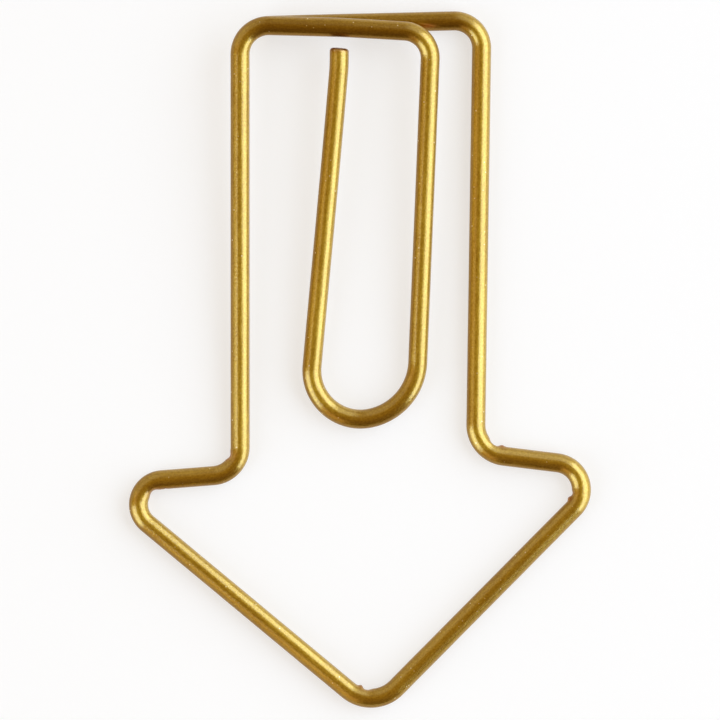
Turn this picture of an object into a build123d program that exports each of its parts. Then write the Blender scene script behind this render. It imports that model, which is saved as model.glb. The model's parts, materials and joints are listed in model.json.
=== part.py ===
from build123d import *
import math
import os

# Paper clip: one round brass wire, bent into the outline of an arrow that points along -Y.
# It lies on a desk with its tongue uppermost, so +Z is up and the origin is under the middle of its box.
# Lengths are in millimetres along the wire's centre line, and angles in degrees.

# Wire
wire_diameter = 1.65
cut_edge_round = 0.15
crossing_clearance = 0.1  # air between the front bar and the back bar below it

# Shaft: two legs, with the front bar and the back bar across their tops
shaft_length = 38.56  # left leg, from the front bar down to the shoulder
shaft_width = 20.8  # leg to leg at the top
shaft_taper = 0.57  # how much closer the legs are at the shoulders
front_bar_drop = 0.66  # from the left leg to the tongue's corner
front_bar_crown = 0.13  # how far the front bar bows upwards
front_bar_crown_share = 0.535  # where it does, along the bar
back_bar_rise = 0.43  # right corner above the left corner
back_bar_drop = 0.47  # from the right leg to the cut end
back_bar_stop = 1.95  # from the left leg to the cut end

# Head
head_length = 20.41  # left shoulder to the tip
tip_setover = 1.33  # tip to the right of the shaft's middle
left_shoulder_reach = 12.0
left_shoulder_drop = 0.95
right_shoulder_reach = 11.78
right_shoulder_drop = 1.44
right_shoulder_rise = 1.79  # right shoulder above the left one

# Inside radii of the frame's bends
crown_inside_radius = 60.0
top_left_inside_radius = 1.64
left_shoulder_inside_radius = 1.65
left_barb_inside_radius = 1.3
tip_inside_radius = 2.25
right_barb_inside_radius = 1.5
right_shoulder_inside_radius = 1.9
top_right_inside_radius = 1.5

# Tongue: a loop inside the shaft, bent on from the front bar
tongue_side_gap = 2.72  # clear space between the right leg and the tongue's corner
tongue_end_gap = 0.95  # clear space between the front bar and the tongue's cut end
bow_lift = 0.15  # clear space between the bow and the desk
long_arm_length = 26.1
tongue_end_length = 1.3
twist_start_share = 0.28  # where the front bar starts to twist, from its crown to the tongue's corner
tongue_corner_angle = 89.07
bow_wide_angle = 75.0
bow_tight_angle = 107.84
kink_angle = 4.2
tongue_corner_inside_radius = 1.5
bow_wide_inside_radius = 4.3
bow_tight_inside_radius = 3.37
kink_inside_radius = 11.0

wire_radius = wire_diameter / 2
desk_level = wire_radius
front_level = desk_level + wire_diameter + crossing_clearance


def centre_radius(inside_radius):
    """Radius of a bend's centre line, from the radius of the tool that it is bent round."""
    return inside_radius + wire_radius


# Corners of the frame's centre line, measured from the left leg's top
top_left = Vector(0, 0, front_level)
tongue_corner = Vector(shaft_width - wire_diameter - tongue_side_gap, -front_bar_drop, front_level)
front_bar_middle = top_left + (tongue_corner - top_left) * front_bar_crown_share
bar_crown = front_bar_middle + Vector(0, front_bar_crown, 0)
twist_start = bar_crown + (tongue_corner - bar_crown) * twist_start_share
foot_width = shaft_width - shaft_taper
left_shoulder = Vector(0, -shaft_length, desk_level)
left_barb = left_shoulder + Vector(-left_shoulder_reach, -left_shoulder_drop, 0)
tip = Vector(foot_width / 2 + tip_setover, -shaft_length - head_length, desk_level)
right_shoulder = Vector(foot_width, right_shoulder_rise - shaft_length, desk_level)
right_barb = right_shoulder + Vector(right_shoulder_reach, -right_shoulder_drop, 0)
top_right = Vector(shaft_width, back_bar_rise, desk_level)
back_bar_end = Vector(back_bar_stop, back_bar_rise - back_bar_drop, desk_level)

# Frame, from the place where the front bar twists, round the arrow, to the back bar's cut end
frame_corners = {
    bar_crown: crown_inside_radius,
    top_left: top_left_inside_radius,
    left_shoulder: left_shoulder_inside_radius,
    left_barb: left_barb_inside_radius,
    tip: tip_inside_radius,
    right_barb: right_barb_inside_radius,
    right_shoulder: right_shoulder_inside_radius,
    top_right: top_right_inside_radius,
}
with BuildLine() as frame_line:
    FilletPolyline(
        twist_start,
        *frame_corners,
        back_bar_end,
        radius=[centre_radius(inside_radius) for inside_radius in frame_corners.values()],
    )

# The stretch that each run and bend of the frame belongs to, in the same order
frame_stretches = [
    "front_bar",
    "front_bar",
    "front_bar",
    "top_left_corner",
    "left_leg",
    "left_shoulder_bend",
    "left_shoulder",
    "left_barb",
    "left_head_edge",
    "arrow_tip",
    "right_head_edge",
    "right_barb",
    "right_shoulder",
    "right_shoulder_bend",
    "right_leg",
    "top_right_corner",
    "back_bar",
]
paths = {}
for label, edge in zip(frame_stretches, frame_line.wire().order_edges()):
    paths.setdefault(label, []).append(edge)

# Tongue, drawn flat with the front bar along X, from the same place to the tongue's cut end
corner_tangent = centre_radius(tongue_corner_inside_radius) * math.tan(math.radians(tongue_corner_angle / 2))
root_length = (tongue_corner - twist_start).length - corner_tangent
with BuildLine() as tongue_line:
    root = Line((0, 0), (root_length, 0))
    corner = JernArc(root @ 1, root % 1, centre_radius(tongue_corner_inside_radius), -tongue_corner_angle)
    long_arm = PolarLine(corner @ 1, long_arm_length, direction=corner % 1)
    wide_bow = JernArc(long_arm @ 1, long_arm % 1, centre_radius(bow_wide_inside_radius), -bow_wide_angle)
    tight_bow = JernArc(wide_bow @ 1, wide_bow % 1, centre_radius(bow_tight_inside_radius), -bow_tight_angle)

    # The free arm is as long as the room under the front bar lets it be. Headings are in radians.
    arm_start = tight_bow @ 1
    arm_heading = math.atan2((tight_bow % 1).Y, (tight_bow % 1).X)
    end_heading = arm_heading + math.radians(kink_angle)
    kink_rise = centre_radius(kink_inside_radius) * (math.cos(arm_heading) - math.cos(end_heading))
    end_rise = tongue_end_length * math.sin(end_heading)
    room = -arm_start.Y - wire_radius - tongue_end_gap
    free_arm_length = (room - kink_rise - end_rise) / math.sin(arm_heading)
    free_arm = PolarLine(arm_start, free_arm_length, direction=tight_bow % 1)
    kink = JernArc(free_arm @ 1, free_arm % 1, centre_radius(kink_inside_radius), kink_angle)
    end_stub = PolarLine(kink @ 1, tongue_end_length, direction=kink % 1)

# The tongue leans from the front bar down to the desk
tongue_depth = -tongue_line.line.bounding_box().min.Y
tongue_lean = math.degrees(math.asin((front_level - desk_level - bow_lift) / tongue_depth))
twist_axis = Axis(twist_start, tongue_corner - twist_start)
tongue_up = Vector(0, 0, 1).rotate(Axis(Vector(0, 0, 0), twist_axis.direction), tongue_lean)
tongue_plane = Plane(twist_start, x_dir=twist_axis.direction, z_dir=tongue_up)
tongue_stretches = {
    "tongue_root": [root],
    "tongue_corner": [corner],
    "tongue_long_arm": [long_arm],
    "tongue_bow": [wide_bow, tight_bow],
    "tongue_free_arm": [free_arm, kink],
    "tongue_end": [end_stub],
}
for label, edges in tongue_stretches.items():
    paths[label] = [tongue_plane.from_local_coords(edge) for edge in edges]

# The frame's box holds the tongue, so its middle is the clip's middle
middle = frame_line.line.bounding_box().center()
to_origin = Location((-middle.X, -middle.Y, 0))
cut_stretches = ("back_bar", "tongue_end")
os.makedirs("parts", exist_ok=True)


def make_stretch(label, path):
    """One stretch of the wire, with its last edge rounded where the wire is cut."""
    with BuildPart() as stretch:
        with BuildSketch(Plane(path[0] @ 0, z_dir=path[0] % 0)):
            Circle(wire_radius)
        sweep(path=path)
        if label in cut_stretches:
            cut_face = stretch.faces().sort_by_distance(path[-1] @ 1)[0]
            fillet(cut_face.edges(), cut_edge_round)
    stretch.part.label = label
    export_step(stretch.part, f"parts/{label}.step")


for label, path in paths.items():
    make_stretch(label, [edge.moved(to_origin) for edge in path])

wire_length = sum(edge.length for path in paths.values() for edge in path)
print("wire length", round(wire_length, 1))
print("twist axis through", twist_start - Vector(middle.X, middle.Y, 0), "along", twist_axis.direction)
print("tongue leans", round(tongue_lean, 2), "and its free arm is", round(free_arm_length, 2), "long")
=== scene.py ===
import json
import math
from collections import namedtuple

import bpy
import numpy as np
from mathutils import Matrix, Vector


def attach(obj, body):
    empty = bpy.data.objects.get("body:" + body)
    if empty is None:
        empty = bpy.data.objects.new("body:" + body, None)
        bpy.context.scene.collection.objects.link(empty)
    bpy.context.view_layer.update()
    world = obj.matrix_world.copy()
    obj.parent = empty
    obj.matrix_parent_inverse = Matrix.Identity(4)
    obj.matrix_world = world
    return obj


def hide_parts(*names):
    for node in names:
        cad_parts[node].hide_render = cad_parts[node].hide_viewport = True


# Looks of the paper clip: satin brass wire on a pale floor, in soft studio light.
# Lengths are in metres, in the frame of the solids: +Z up to the camera, +Y up the photograph.
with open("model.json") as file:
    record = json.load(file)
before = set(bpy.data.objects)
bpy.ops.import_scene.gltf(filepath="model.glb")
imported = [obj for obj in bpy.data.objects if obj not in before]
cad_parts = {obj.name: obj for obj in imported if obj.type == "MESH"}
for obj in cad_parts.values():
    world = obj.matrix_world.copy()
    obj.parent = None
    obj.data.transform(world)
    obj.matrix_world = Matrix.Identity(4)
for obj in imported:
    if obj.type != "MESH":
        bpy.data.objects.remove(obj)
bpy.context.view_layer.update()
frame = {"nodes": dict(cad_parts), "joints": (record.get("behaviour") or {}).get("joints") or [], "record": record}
mm = 0.001
seed = 11

# Wire
wire_radius = 0.825 * mm
sides_around = 64
step_along = 0.15 * mm
sharp_angle = math.radians(60)

# Reading the solids: how near to each other the centres of one ring are, and the fewest points of a ring
ring_reach = 0.02 * mm
ring_members = 20

# Waves that drawing leaves in the wire: height, range of lengths along the wire, and how many are added up
wave_height = 0.0025 * mm
wave_lengths = (3.0 * mm, 14.0 * mm)
wave_count = 14
wave_lobes = 3  # most lobes that a wave has round the wire
wave_fade = 0.8 * mm  # length over which they fade out towards the wire's ends

# Cut ends: the edge is rounded over a length along the wire and a width across its end
cut_edge_length = 0.3 * mm
cut_edge_width = 0.34 * mm
cut_edge_rings = 10
solid_edge_length = 0.15 * mm  # the same on the solids, whose last ring of points is that far from the cut
cut_face_rings = 5
cut_face_dome = 0.03 * mm
cut_slants = {"frame": 0.06, "tongue": -0.05}  # how far ahead the cut face runs towards its right, as a slope
cut_raw_reach = 0.55 * mm  # how far up the wire the cut shows raw metal

# Marks that the bending tool left: where along a stretch, at which angle from the top towards the right of
# the way that the wire runs, how far the mark reaches from there along the wire, round it and outwards, and
# how strong its stain is. Angles are in degrees. A dent has a height below 0, and a mark of height 0 is only
# a stain.
Mark = namedtuple("Mark", "stretch share angle length width height stain")
left_side, right_side = -90, 90
marks = {
    "frame": [
        Mark("left_shoulder_bend", 0.335, right_side, 0.68 * mm, 60, -0.115 * mm, 1.0),
        Mark("left_shoulder", 0.93, left_side, 0.14 * mm, 26, -0.05 * mm, 1.0),
        Mark("left_barb", 0.265, left_side, 1.05 * mm, 60, -0.16 * mm, 0.8),
        Mark("arrow_tip", 0.22, left_side, 0.45 * mm, 42, 0.15 * mm, 1.0),
        Mark("arrow_tip", 0.39, left_side, 0.8 * mm, 50, -0.115 * mm, 0.5),
        Mark("right_barb", 0.115, left_side, 0.5 * mm, 46, 0.14 * mm, 1.0),
        Mark("right_barb", 0.27, left_side, 0.5 * mm, 50, -0.09 * mm, 0.5),
        Mark("right_shoulder_bend", 0.1, right_side, 0.55 * mm, 42, 0.1 * mm, 1.0),
        Mark("right_shoulder_bend", 0.365, right_side, 1.05 * mm, 50, -0.19 * mm, 0.3),
        Mark("back_bar", 0.15, -28, 0.7 * mm, 16, 0.0, 1.0),
    ],
    "tongue": [],
}
stain_spread = 1.5  # the stain round a mark is this much larger than the mark
stain_rawness = 1.25  # how raw the metal is in a full stain, where 1 is as raw as at a cut
stain_tarnish = 0.75  # how tarnished it is there

# Painted shade: darkest on the wire's flanks and on the bars, and taken off again as painted light where the wire
# faces one way
flank_share = (0.5, 0.85)  # shares of the radius, out from the wire's middle, where it starts and is full
flank_painted_shade = 0.85
bar_painted_shade = 0.65
bar_fade = 2.5 * mm  # length over which it fades out past a bar's ends
bars = {"frame": ["front_bar", "back_bar"], "tongue": ["tongue_root"]}
# Side whose flanks are painted lighter: the painted shade is lifted where the wire faces this way
painted_light_towards = np.array([1.0, 0.4, 0.0])
painted_light_share = 0.8  # how much of the painted shade is lifted at most, as painted light on that side

# Layout of the wire's skin for baking: strips side by side, with a margin round each
strips = {"frame": 6, "tongue": 4}
strip_margin_share = 0.04


def read_rings(node, start):
    """Centre and direction of each ring in a stretch's surface, in order from its start.

    A point on the wire's side lies one radius out along its normal, so a ring's points lead to one centre.
    """
    mesh = frame["nodes"][node].data
    places = np.array([vertex.co for vertex in mesh.vertices])
    normals = np.empty_like(places)
    for loop, corner in zip(mesh.loops, mesh.corner_normals):
        normals[loop.vertex_index] = corner.vector
    centres = places - wire_radius * normals
    rings = []
    while len(centres):
        nearest = centres[np.linalg.norm(centres - start, axis=1).argmin()]
        together = np.linalg.norm(centres - nearest, axis=1) < ring_reach
        if together.sum() >= ring_members:
            start = centres[together].mean(axis=0)
            square_to_normals = np.linalg.svd(normals[together])[2][-1]
            rings.append((start, square_to_normals))
        centres, normals = centres[~together], normals[~together]
    return rings


def read_route(body, start):
    """Rings of all the stretches of a body, and which of them are the first and the last of each stretch.

    The record lists a body's stretches in order along the wire.
    """
    rings = []
    spans = {}
    for node in frame["record"]["behaviour"]["bodies"][body]:
        first = max(len(rings) - 1, 0)
        for ring in read_rings(node, rings[-1][0] if rings else start):
            if not rings or np.linalg.norm(ring[0] - rings[-1][0]) > ring_reach:
                rings.append(ring)
        spans[node] = (first, len(rings) - 1)
    centres, directions = (np.array(column) for column in zip(*rings))
    ahead = np.diff(centres, axis=0, append=2 * centres[-1:] - centres[-2:-1])
    directions *= np.sign((directions * ahead).sum(axis=1))[:, None]
    return centres, directions, spans


def follow(centres, directions):
    """Points close together along a route, their headings, and which of the points each ring became."""
    points, headings, ring_points = [], [], [0]
    for a, b, leaving, arriving in zip(centres, centres[1:], directions, directions[1:]):
        length = np.linalg.norm(b - a)
        share = np.linspace(0, 1, math.ceil(length / step_along), endpoint=False)[:, None]
        leaving, arriving = leaving * length, arriving * length
        points.append(
            a * (2 * share**3 - 3 * share**2 + 1)
            + leaving * (share**3 - 2 * share**2 + share)
            + b * (3 * share**2 - 2 * share**3)
            + arriving * (share**3 - share**2)
        )
        headings.append(
            (a - b) * (6 * share**2 - 6 * share)
            + leaving * (3 * share**2 - 4 * share + 1)
            + arriving * (3 * share**2 - 2 * share)
        )
        ring_points.append(ring_points[-1] + len(share))
    points = np.concatenate([*points, centres[-1:]])
    headings = np.concatenate([*headings, directions[-1:]])
    return points, headings / np.linalg.norm(headings, axis=1)[:, None], ring_points


def smooth_step(value):
    """0 below 0, 1 above 1, and a smooth rise between them."""
    value = np.clip(value, 0, 1)
    return value * value * (3 - 2 * value)


def hump(value):
    """1 at 0, falling smoothly to 0 at -1 and at 1."""
    return np.clip(1 - value * value, 0, 1) ** 2


def waves(along, around):
    """Slight unroundness of drawn wire, 0 on average, in metres."""
    draw = np.random.default_rng(seed)
    height = np.zeros(np.broadcast(along, around).shape)
    for _ in range(wave_count):
        length = draw.uniform(*wave_lengths)
        lobes = draw.integers(0, wave_lobes, endpoint=True)
        phase, turn = draw.uniform(0, 2 * math.pi, 2)
        height += np.sin(2 * math.pi * along / length + phase) * np.cos(lobes * around + turn)
    return height * wave_height / math.sqrt(wave_count)


def tool_marks(body, stretch_ends, along, around):
    """Height of the bending tool's marks, in metres, and how much each place is stained by them."""
    height = np.zeros(np.broadcast(along, around).shape)
    stain = np.zeros_like(height)
    for mark in marks[body]:
        begin, end = stretch_ends[mark.stretch]
        off_along = (along - begin - mark.share * (end - begin)) / mark.length
        turn = around - math.radians(mark.angle)
        off_around = np.degrees(np.arctan2(np.sin(turn), np.cos(turn))) / mark.width
        height += mark.height * hump(off_along) * hump(off_around)
        stained = mark.stain * hump(off_along / stain_spread) * hump(off_around / stain_spread)
        stain = np.maximum(stain, stained)
    return height, stain


def painted_shade_and_stain(body, stretch_ends, along, around, outward):
    """How much painted shade each place gets, from 0 to 1: flanks and bars darker, less where the wire faces one
    way.
    """
    first, full = flank_share
    flank = smooth_step((np.abs(np.sin(around)) - first) / (full - first))
    unshaded = 1 - flank_painted_shade * flank
    for bar in bars[body]:
        begin, end = stretch_ends[bar]
        past_begin = smooth_step((along - begin + bar_fade) / bar_fade)
        before_end = smooth_step((end + bar_fade - along) / bar_fade)
        inside = past_begin * before_end
        unshaded = unshaded * (1 - bar_painted_shade * inside)
    return (1 - unshaded) * (1 - painted_light_share * smooth_step(outward @ painted_light_towards / full))


def close_cut(points, headings, along):
    """Adds the rings of a cut end's rounded edge and face, of falling radius, ahead of the last point."""
    turn = np.linspace(0, math.pi / 2, cut_edge_rings + 1)[1:]
    face = np.linspace(1, 0, cut_face_rings + 1)[1:-1]
    inner = wire_radius - cut_edge_width
    wire_radii = np.full(len(points), wire_radius)
    radii = np.concatenate([wire_radii, inner + cut_edge_width * np.cos(turn), inner * face])
    edge_ahead = cut_edge_length * np.sin(turn)
    face_ahead = cut_edge_length + cut_face_dome * (1 - face**2)
    ahead = np.concatenate([np.zeros(len(points)), edge_ahead, face_ahead])
    repeats = np.minimum(np.arange(len(radii)), len(points) - 1)
    return points[repeats], headings[repeats], along[repeats], radii, ahead


def look_around(headings):
    """Angles round the wire, from its top towards the right of the way it runs, and the way out at each."""
    up = np.array([0, 0, 1]) - headings * headings[:, 2:]
    up /= np.linalg.norm(up, axis=1)[:, None]
    right = np.cross(headings, up)
    around = np.linspace(-math.pi, math.pi, sides_around, endpoint=False)[None, :]
    outward = np.cos(around)[:, :, None] * up[:, None] + np.sin(around)[:, :, None] * right[:, None]
    return around, outward


def join_rings(name, places, split, tip):
    """Mesh over rings of points, closed by triangles round a middle point at each end."""
    ring_count = len(places)
    vertices = np.concatenate([places.reshape(-1, 3), [split, tip]])
    index = np.arange(ring_count * sides_around).reshape(ring_count, sides_around)
    following = np.roll(index, -1, axis=1)
    quads = np.stack([index[:-1], following[:-1], following[1:], index[1:]], axis=2).reshape(-1, 4)
    split_fan = [(a, index.size, b) for a, b in zip(index[0], following[0])]
    tip_fan = [(a, b, index.size + 1) for a, b in zip(index[-1], following[-1])]
    mesh = bpy.data.meshes.new(name)
    mesh.from_pydata(vertices.tolist(), [], [*quads.tolist(), *split_fan, *tip_fan])
    mesh.shade_smooth()
    mesh.set_sharp_from_angle(angle=sharp_angle)
    return mesh


def lay_out_skin(mesh, body, skin):
    """Lays the wire's skin out flat in strips, each with a margin, for baking.

    Each ring's place along the skin is given. The skin runs on by a radius to the middle point at each end.
    """
    strip_count = strips[body]
    strip_length = (skin[-1] + wire_radius) / strip_count
    columns = np.arange(sides_around)
    rows = np.arange(len(skin) - 1)
    strip = np.minimum((skin[rows] / strip_length).astype(int), strip_count - 1)
    spread = 1 - 2 * strip_margin_share

    def across(strip, column):
        return (strip + strip_margin_share + spread * column / sides_around) / strip_count

    def onward(strip, length):
        return strip_margin_share + spread * (length / strip_length - strip)

    corners = np.empty((len(rows), sides_around, 4, 2))
    for corner, (row_step, column_step) in enumerate(((0, 0), (0, 1), (1, 1), (1, 0))):
        corners[:, :, corner, 0] = onward(strip, skin[rows + row_step])[:, None]
        corners[:, :, corner, 1] = across(strip[:, None], columns[None, :] + column_step)

    # The order of a triangle's corners: steps round the ring, and None for the middle point
    split_end = (0, skin[0] - wire_radius, (0, None, 1))
    cut_end = (-1, skin[-1] + wire_radius, (0, 1, None))
    fans = []
    for at, middle, order in (split_end, cut_end):
        for column in columns:
            for step in order:
                length = middle if step is None else skin[at]
                column_step = 0.5 if step is None else step
                fans.append((onward(strip[at], length), across(strip[at], column + column_step)))
    layer = mesh.uv_layers.new(name="OFBake")
    layer.uv.foreach_set("vector", np.concatenate([corners.ravel(), np.ravel(fans)]))


def keep_unbent(mesh, body, along, around, spread):
    """Keeps each point's place in the wire before it was bent, the same way round on both bodies."""
    way = 1 if body == "tongue" else -1
    upward = spread * np.cos(around)
    sideways = way * spread * np.sin(around)
    onward = way * np.broadcast_to(along, spread.shape)
    rings = np.stack([upward, sideways, onward], axis=2).reshape(-1, 3)
    unbent = np.concatenate([rings, [(0, 0, 0), (0, 0, way * along[-1, 0])]])
    mesh.attributes.new("unbent", "FLOAT_VECTOR", "POINT").data.foreach_set("vector", unbent.ravel())


def keep_amounts(mesh, name, rings, split, tip):
    """Keeps an amount at each point of a wire: those on its rings, and at the middle point of each end."""
    amounts = np.concatenate([rings.ravel(), [split, tip]])
    mesh.attributes.new(name, "FLOAT", "POINT").data.foreach_set("value", amounts)


def make_wire(name, body):
    """One continuous wire over a body's stretches, from where the front bar twists to the cut end."""
    split = np.array(frame["joints"][0]["pos_m"])
    centres, directions, spans = read_route(body, split)
    points, headings, ring_points = follow(centres, directions)
    along = np.concatenate([[0], np.cumsum(np.linalg.norm(np.diff(points, axis=0), axis=1))])
    stretch_ends = {node: [along[ring_points[ring]] for ring in span] for node, span in spans.items()}
    end = along[-1] + solid_edge_length
    kept = along < end - cut_edge_length
    points, headings, along, radii, ahead = close_cut(points[kept], headings[kept], along[kept])
    ahead += (end - cut_edge_length - along[-1]) * (ahead > 0)
    along = (along + ahead)[:, None]
    around, outward = look_around(headings)

    # Waves fade out at both ends, and over the same length the cut's slant fades in
    from_cut = smooth_step((end - along) / wave_fade)
    from_split = smooth_step(along / wave_fade)
    height, stain = tool_marks(body, stretch_ends, along, around)
    swell = waves(along, around) * from_cut * from_split + height
    spread = radii[:, None] * (1 + swell / wire_radius)
    slide = ahead[:, None] + cut_slants[body] * (1 - from_cut) * spread * np.sin(around)
    places = points[:, None] + spread[:, :, None] * outward + slide[:, :, None] * headings[:, None]
    tip = points[-1] + headings[-1] * (ahead[-1] + cut_face_dome / cut_face_rings**2)

    mesh = join_rings(name, places, split, tip)
    skin = wire_radius + np.concatenate([[0], np.cumsum(np.hypot(np.diff(along[:, 0]), np.diff(radii)))])
    lay_out_skin(mesh, body, skin)
    keep_unbent(mesh, body, along, around, spread)
    raw = np.maximum(1 - smooth_step((end - along) / cut_raw_reach), stain_rawness * stain)
    keep_amounts(mesh, "raw", raw, 0, 1)
    # Painted shade on the flanks and bars, joined with the real darkening of the marks' stains
    shade_and_stain = np.maximum(painted_shade_and_stain(body, stretch_ends, along, around, outward), stain_tarnish * stain)
    keep_amounts(mesh, "painted_shade_and_stain", shade_and_stain, 0, 0)

    wire = bpy.data.objects.new(name, mesh)
    bpy.context.scene.collection.objects.link(wire)
    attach(wire, body)
    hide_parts(*spans)
    return wire


frame_wire = make_wire("frame_wire", "frame")
tongue_wire = make_wire("tongue_wire", "tongue")


def set_inputs(tree, node, inputs):
    """Sets inputs of a shader node. One that is given as a socket is linked to it."""
    for name, value in inputs.items():
        if isinstance(value, bpy.types.NodeSocket):
            tree.links.new(value, node.inputs[name])
        else:
            node.inputs[name].default_value = value


def add_node(tree, kind, inputs, **settings):
    """Adds a shader node with the given inputs and settings."""
    node = tree.nodes.new(kind)
    for name, value in settings.items():
        setattr(node, name, value)
    set_inputs(tree, node, inputs)
    return node


def add_math(tree, operation, *values):
    """Result of an operation on values, which are numbers or sockets."""
    return add_node(tree, "ShaderNodeMath", dict(enumerate(values)), operation=operation).outputs[0]


def add_mix(tree, amount, first, second, blend="MIX"):
    """The first colour, changed by the second one as much as an amount says."""
    inputs = {"Fac": amount, "Color1": first, "Color2": second}
    return add_node(tree, "ShaderNodeMixRGB", inputs, blend_type=blend).outputs[0]


def add_ramp(tree, amount, low, middle, high):
    """Colour for an amount from 0 to 1: the low one at 0, the middle one at a half and the high one at 1."""
    ramp = add_node(tree, "ShaderNodeValToRGB", {"Fac": amount})
    ramp.color_ramp.elements[0].color = low
    ramp.color_ramp.elements[1].color = high
    ramp.color_ramp.elements.new(0.5).color = middle
    return ramp.outputs[0]


def add_amount(tree, name):
    """An amount that the mesh keeps at its points."""
    return add_node(tree, "ShaderNodeAttribute", {}, attribute_name=name).outputs["Fac"]


def add_noise(tree, place, sizes, detail=2.0):
    """Noise whose spots have the given sizes across and along the wire, from 0 to 1."""
    across, along = (1 / size for size in sizes)
    inputs = {0: place, 1: (across, across, along)}
    scaled = add_node(tree, "ShaderNodeVectorMath", inputs, operation="MULTIPLY").outputs[0]
    noise = add_node(tree, "ShaderNodeTexNoise", {"Vector": scaled, "Scale": 1.0, "Detail": detail})
    return noise.outputs["Fac"]


def add_specks(tree, place, spacing, radius):
    """Round specks at random places, about a spacing apart: 1 in the middle of a speck and 0 off it."""
    scattered = add_node(tree, "ShaderNodeTexVoronoi", {"Vector": place, "Scale": 1 / spacing})
    edge = radius / spacing
    inputs = {"Value": scattered.outputs["Distance"], "From Min": edge, "From Max": edge / 2}
    return add_node(tree, "ShaderNodeMapRange", inputs).outputs[0]


def add_up(tree, *weighted):
    """Sum of sockets, each times its weight, less half of all the weights, so noise keeps the sum near 0."""
    total = -sum(weight for _, weight in weighted) / 2
    for socket, weight in weighted:
        total = add_math(tree, "MULTIPLY_ADD", socket, weight, total)
    return total


def add_range(tree, value, low, high):
    """Maps a value around 0, from -0.5 to 0.5, to a range."""
    inputs = {"Value": value, "From Min": -0.5, "From Max": 0.5, "To Min": low, "To Max": high}
    return add_node(tree, "ShaderNodeMapRange", inputs).outputs[0]


# Brass: sizes of its patches, streaks and grain, across the wire and along it, and how each changes its tone
patch_sizes = (2.2 * mm, 6.0 * mm)
streak_sizes = (0.14 * mm, 2.4 * mm)
grain_sizes = (0.15 * mm, 0.18 * mm)
streak_detail = 3.0
patch_tone = 0.9
streak_tone = 0.8
grain_tone = 1.8
dark_brass = (0.47, 0.265, 0.012, 1)
middle_brass = (0.595, 0.37, 0.025, 1)
pale_brass = (0.72, 0.475, 0.045, 1)
edge_tint = (0.80, 0.78, 0.72, 1)  # where the metal is seen at a grazing angle
# Darkening colour of the painted shade on flanks and bars, and of the marks' real stains
painted_shade_and_stain_tint = (0.50, 0.39, 0.31, 1)
raw_colour = (0.46, 0.15, 0.06, 1)

# Pale specks on it
speck_spacing = 0.8 * mm
speck_radius = 0.08 * mm
speck_colour = (0.92, 0.74, 0.36, 1)

# Shine: the grain and the streaks roughen it, and drawing has blurred it across the wire
roughness_range = (0.24, 0.36)
grain_roughness = 0.3
streak_roughness = 0.6
bump_height = 0.009 * mm
grain_bump = 1.0
streak_bump = 0.3
anisotropy = 0.75
anisotropy_turn = 0.25  # in whole turns, from along the wire

# Coat: a clear gloss over the metal, which the painted shade and the stains take away
coat_roughness = 0.16
coat_ior = 1.7
coat_loss = 0.8  # how much of it is gone where the painted shade and stain are full


def make_brass():
    """Satin brass: streaks, a fine grain, faint patches, pale specks, painted shade with the marks' stains, and
    raw cuts and marks.
    """
    brass = bpy.data.materials.new("brass")
    brass.use_nodes = True
    tree = brass.node_tree
    place = add_node(tree, "ShaderNodeAttribute", {}, attribute_name="unbent").outputs["Vector"]
    shade_and_stain = add_amount(tree, "painted_shade_and_stain")
    patches = add_noise(tree, place, patch_sizes)
    streaks = add_noise(tree, place, streak_sizes, streak_detail)
    grain = add_noise(tree, place, grain_sizes)

    tone = add_up(tree, (patches, patch_tone), (streaks, streak_tone), (grain, grain_tone))
    unshaded = add_ramp(tree, add_range(tree, tone, 0.0, 1.0), dark_brass, middle_brass, pale_brass)
    # Painted shade, with the marks' stains, darkens the brass
    shaded = add_mix(tree, shade_and_stain, unshaded, painted_shade_and_stain_tint, "MULTIPLY")
    specked = add_mix(tree, add_specks(tree, place, speck_spacing, speck_radius), shaded, speck_colour)
    raw = add_math(tree, "MULTIPLY", add_amount(tree, "raw"), streaks)

    rough = add_up(tree, (grain, grain_roughness), (streaks, streak_roughness))
    height = add_up(tree, (grain, grain_bump), (streaks, streak_bump))
    bump_inputs = {"Strength": 1.0, "Distance": bump_height, "Height": height}
    bump = add_node(tree, "ShaderNodeBump", bump_inputs).outputs[0]
    lengthwise = add_node(tree, "ShaderNodeTangent", {}, direction_type="UV_MAP", uv_map="OFBake").outputs[0]
    inputs = {
        "Base Color": add_mix(tree, raw, specked, raw_colour),
        "Metallic": 1.0,
        "Specular Tint": edge_tint,
        "Roughness": add_range(tree, rough, *roughness_range),
        "Normal": bump,
        "Tangent": lengthwise,
        "Anisotropic": anisotropy,
        "Anisotropic Rotation": anisotropy_turn,
        # The coat thins where the painted shade and the stains are, darkening the reflection there too
        "Coat Weight": add_math(tree, "MULTIPLY_ADD", shade_and_stain, -coat_loss, 1.0),
        "Coat Roughness": coat_roughness,
        "Coat IOR": coat_ior,
        "Coat Normal": bump,
    }
    set_inputs(tree, tree.nodes["Principled BSDF"], inputs)
    return brass


brass = make_brass()
for wire in (frame_wire, tongue_wire):
    wire.data.materials.append(brass)

# Camera: straight above, as far off as a long lens
camera_height = 1.6
picture_width = 61.92 * mm
picture_centre = (0.0, -0.04 * mm)
sensor_width = 36.0  # in millimetres, as the camera takes it
sight_end = 10.0
camera = bpy.data.objects.new("camera", bpy.data.cameras.new("camera"))
bpy.context.scene.collection.objects.link(camera)
camera.location = (*picture_centre, camera_height)
camera.data.sensor_width = sensor_width
camera.data.lens = sensor_width * (camera_height - wire_radius) / picture_width
camera.data.clip_end = sight_end
bpy.context.scene.camera = camera

# Floor: its own glow keeps it white to the camera and in the wire, and the rest of its white takes the shadow
floor_size = 8.0
floor_colour = (0.43, 0.415, 0.375, 1)
floor_glow = 0.615


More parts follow.
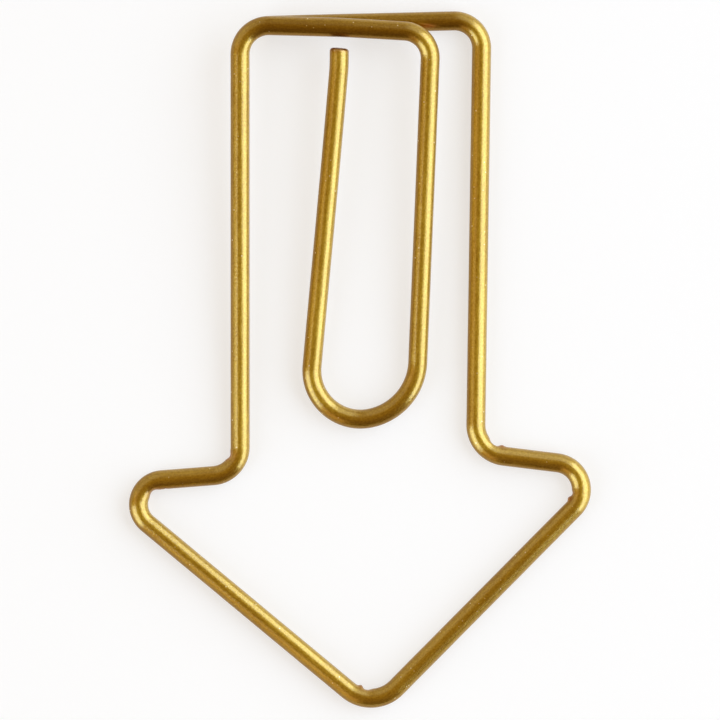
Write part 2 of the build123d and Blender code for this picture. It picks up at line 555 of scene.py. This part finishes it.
def make_floor():
    """A plain white floor, with a faint shadow."""
    half = floor_size / 2
    mesh = bpy.data.meshes.new("floor")
    corners = [(-half, -half, 0), (half, -half, 0), (half, half, 0), (-half, half, 0)]
    mesh.from_pydata(corners, [], [(0, 1, 2, 3)])
    floor = bpy.data.objects.new("floor", mesh)
    bpy.context.scene.collection.objects.link(floor)
    pale = bpy.data.materials.new("pale_floor")
    pale.use_nodes = True
    tree = pale.node_tree
    tree.nodes.clear()
    rays = add_node(tree, "ShaderNodeLightPath", {}).outputs
    seen = add_math(tree, "MAXIMUM", rays["Is Camera Ray"], rays["Is Glossy Ray"])
    seen = add_math(tree, "MAXIMUM", seen, rays["Is Transmission Ray"])
    glow = add_math(tree, "MULTIPLY", seen, floor_glow)
    emission = add_node(tree, "ShaderNodeEmission", {"Strength": glow})
    diffuse = add_node(tree, "ShaderNodeBsdfDiffuse", {"Color": floor_colour})
    both = add_node(tree, "ShaderNodeAddShader", {0: diffuse.outputs[0], 1: emission.outputs[0]})
    add_node(tree, "ShaderNodeOutputMaterial", {"Surface": both.outputs[0]})
    mesh.materials.append(pale)


make_floor()

# Lamps: each fills a range of azimuths, from +X towards +Y, and of elevations above the floor, in degrees
lamp_distance = 0.45
cool_white = (0.56, 0.715, 1.0)
warm_white = (1.0, 0.70, 0.40)
Lamp = namedtuple("Lamp", "name azimuths elevations radiance colour")
lamps = [
    Lamp("key_tail", (53, 84), (8, 64), 0.8, cool_white),
    Lamp("second_head", (158, 185), (18, 57), 0.25, warm_white),
    Lamp("second", (185.5, 225.5), (2, 57), 2.7, cool_white),
    Lamp("second_tail", (226, 254), (2, 49), 0.45, warm_white),
    Lamp("fill", (98, 168), (4, 60), 0.27, cool_white),
]

# Key light: a bank of upright strips side by side, of different heights
key_edges = (-41, -22.4, -9, 6, 28, 52)  # azimuths of the strips' sides
key_tops = (46.5, 52, 72, 61, 65.3)  # elevation of each strip's top
key_feet = (1.5, 11)  # elevations of the first strip's foot and of the last one's
key_radiance = 3.2


def make_softbox(name, azimuths, elevations, radiance, colour):
    """An upright lamp that fills the given range of directions, as seen from the clip."""
    low, high = (lamp_distance * math.tan(math.radians(angle)) for angle in elevations)
    middle = math.radians(sum(azimuths) / 2)
    half_width = lamp_distance * math.tan(math.radians(azimuths[1] - azimuths[0]) / 2)
    lamp = bpy.data.lights.new(name, "AREA")
    lamp.shape = "RECTANGLE"
    lamp.size, lamp.size_y = 2 * half_width, high - low
    lamp.energy = radiance * math.pi * lamp.size * lamp.size_y
    lamp.color = colour
    box = bpy.data.objects.new(name, lamp)
    bpy.context.scene.collection.objects.link(box)
    towards = Vector((math.cos(middle), math.sin(middle), 0))
    box.location = towards * lamp_distance + Vector((0, 0, (low + high) / 2))
    box.rotation_mode = "QUATERNION"
    box.rotation_quaternion = towards.to_track_quat("Z", "Y")
    box.visible_camera = False


def make_key():
    """The strips of the key light, each between its own foot and top."""
    feet = np.linspace(*key_feet, len(key_tops))
    for strip, foot_and_top in enumerate(zip(feet, key_tops)):
        make_softbox(f"key_{strip}", key_edges[strip : strip + 2], foot_and_top, key_radiance, cool_white)


make_key()
for lamp in lamps:
    make_softbox(*lamp)

# Room: its colour in front of the clip, towards -Y, overhead and at the sides, and behind the clip
front_colour = (0.15, 0.092, 0.042, 1)
overhead_colour = (0.36, 0.23, 0.036, 1)
back_colour = (0.47, 0.37, 0.22, 1)


def make_world():
    """A dim warm room, darkest in front of the clip."""
    world = bpy.data.worlds.new("studio")
    bpy.context.scene.world = world
    world.use_nodes = True
    tree = world.node_tree
    direction = add_node(tree, "ShaderNodeTexCoord", {}).outputs["Generated"]
    backward = add_node(tree, "ShaderNodeSeparateXYZ", {0: direction}).outputs["Y"]
    inputs = {"Value": backward, "From Min": -1.0, "From Max": 1.0}
    share = add_node(tree, "ShaderNodeMapRange", inputs).outputs[0]
    colour = add_ramp(tree, share, front_colour, overhead_colour, back_colour)
    tree.links.new(colour, tree.nodes["Background"].inputs["Color"])


make_world()
bpy.context.scene.view_settings.view_transform = "Standard"
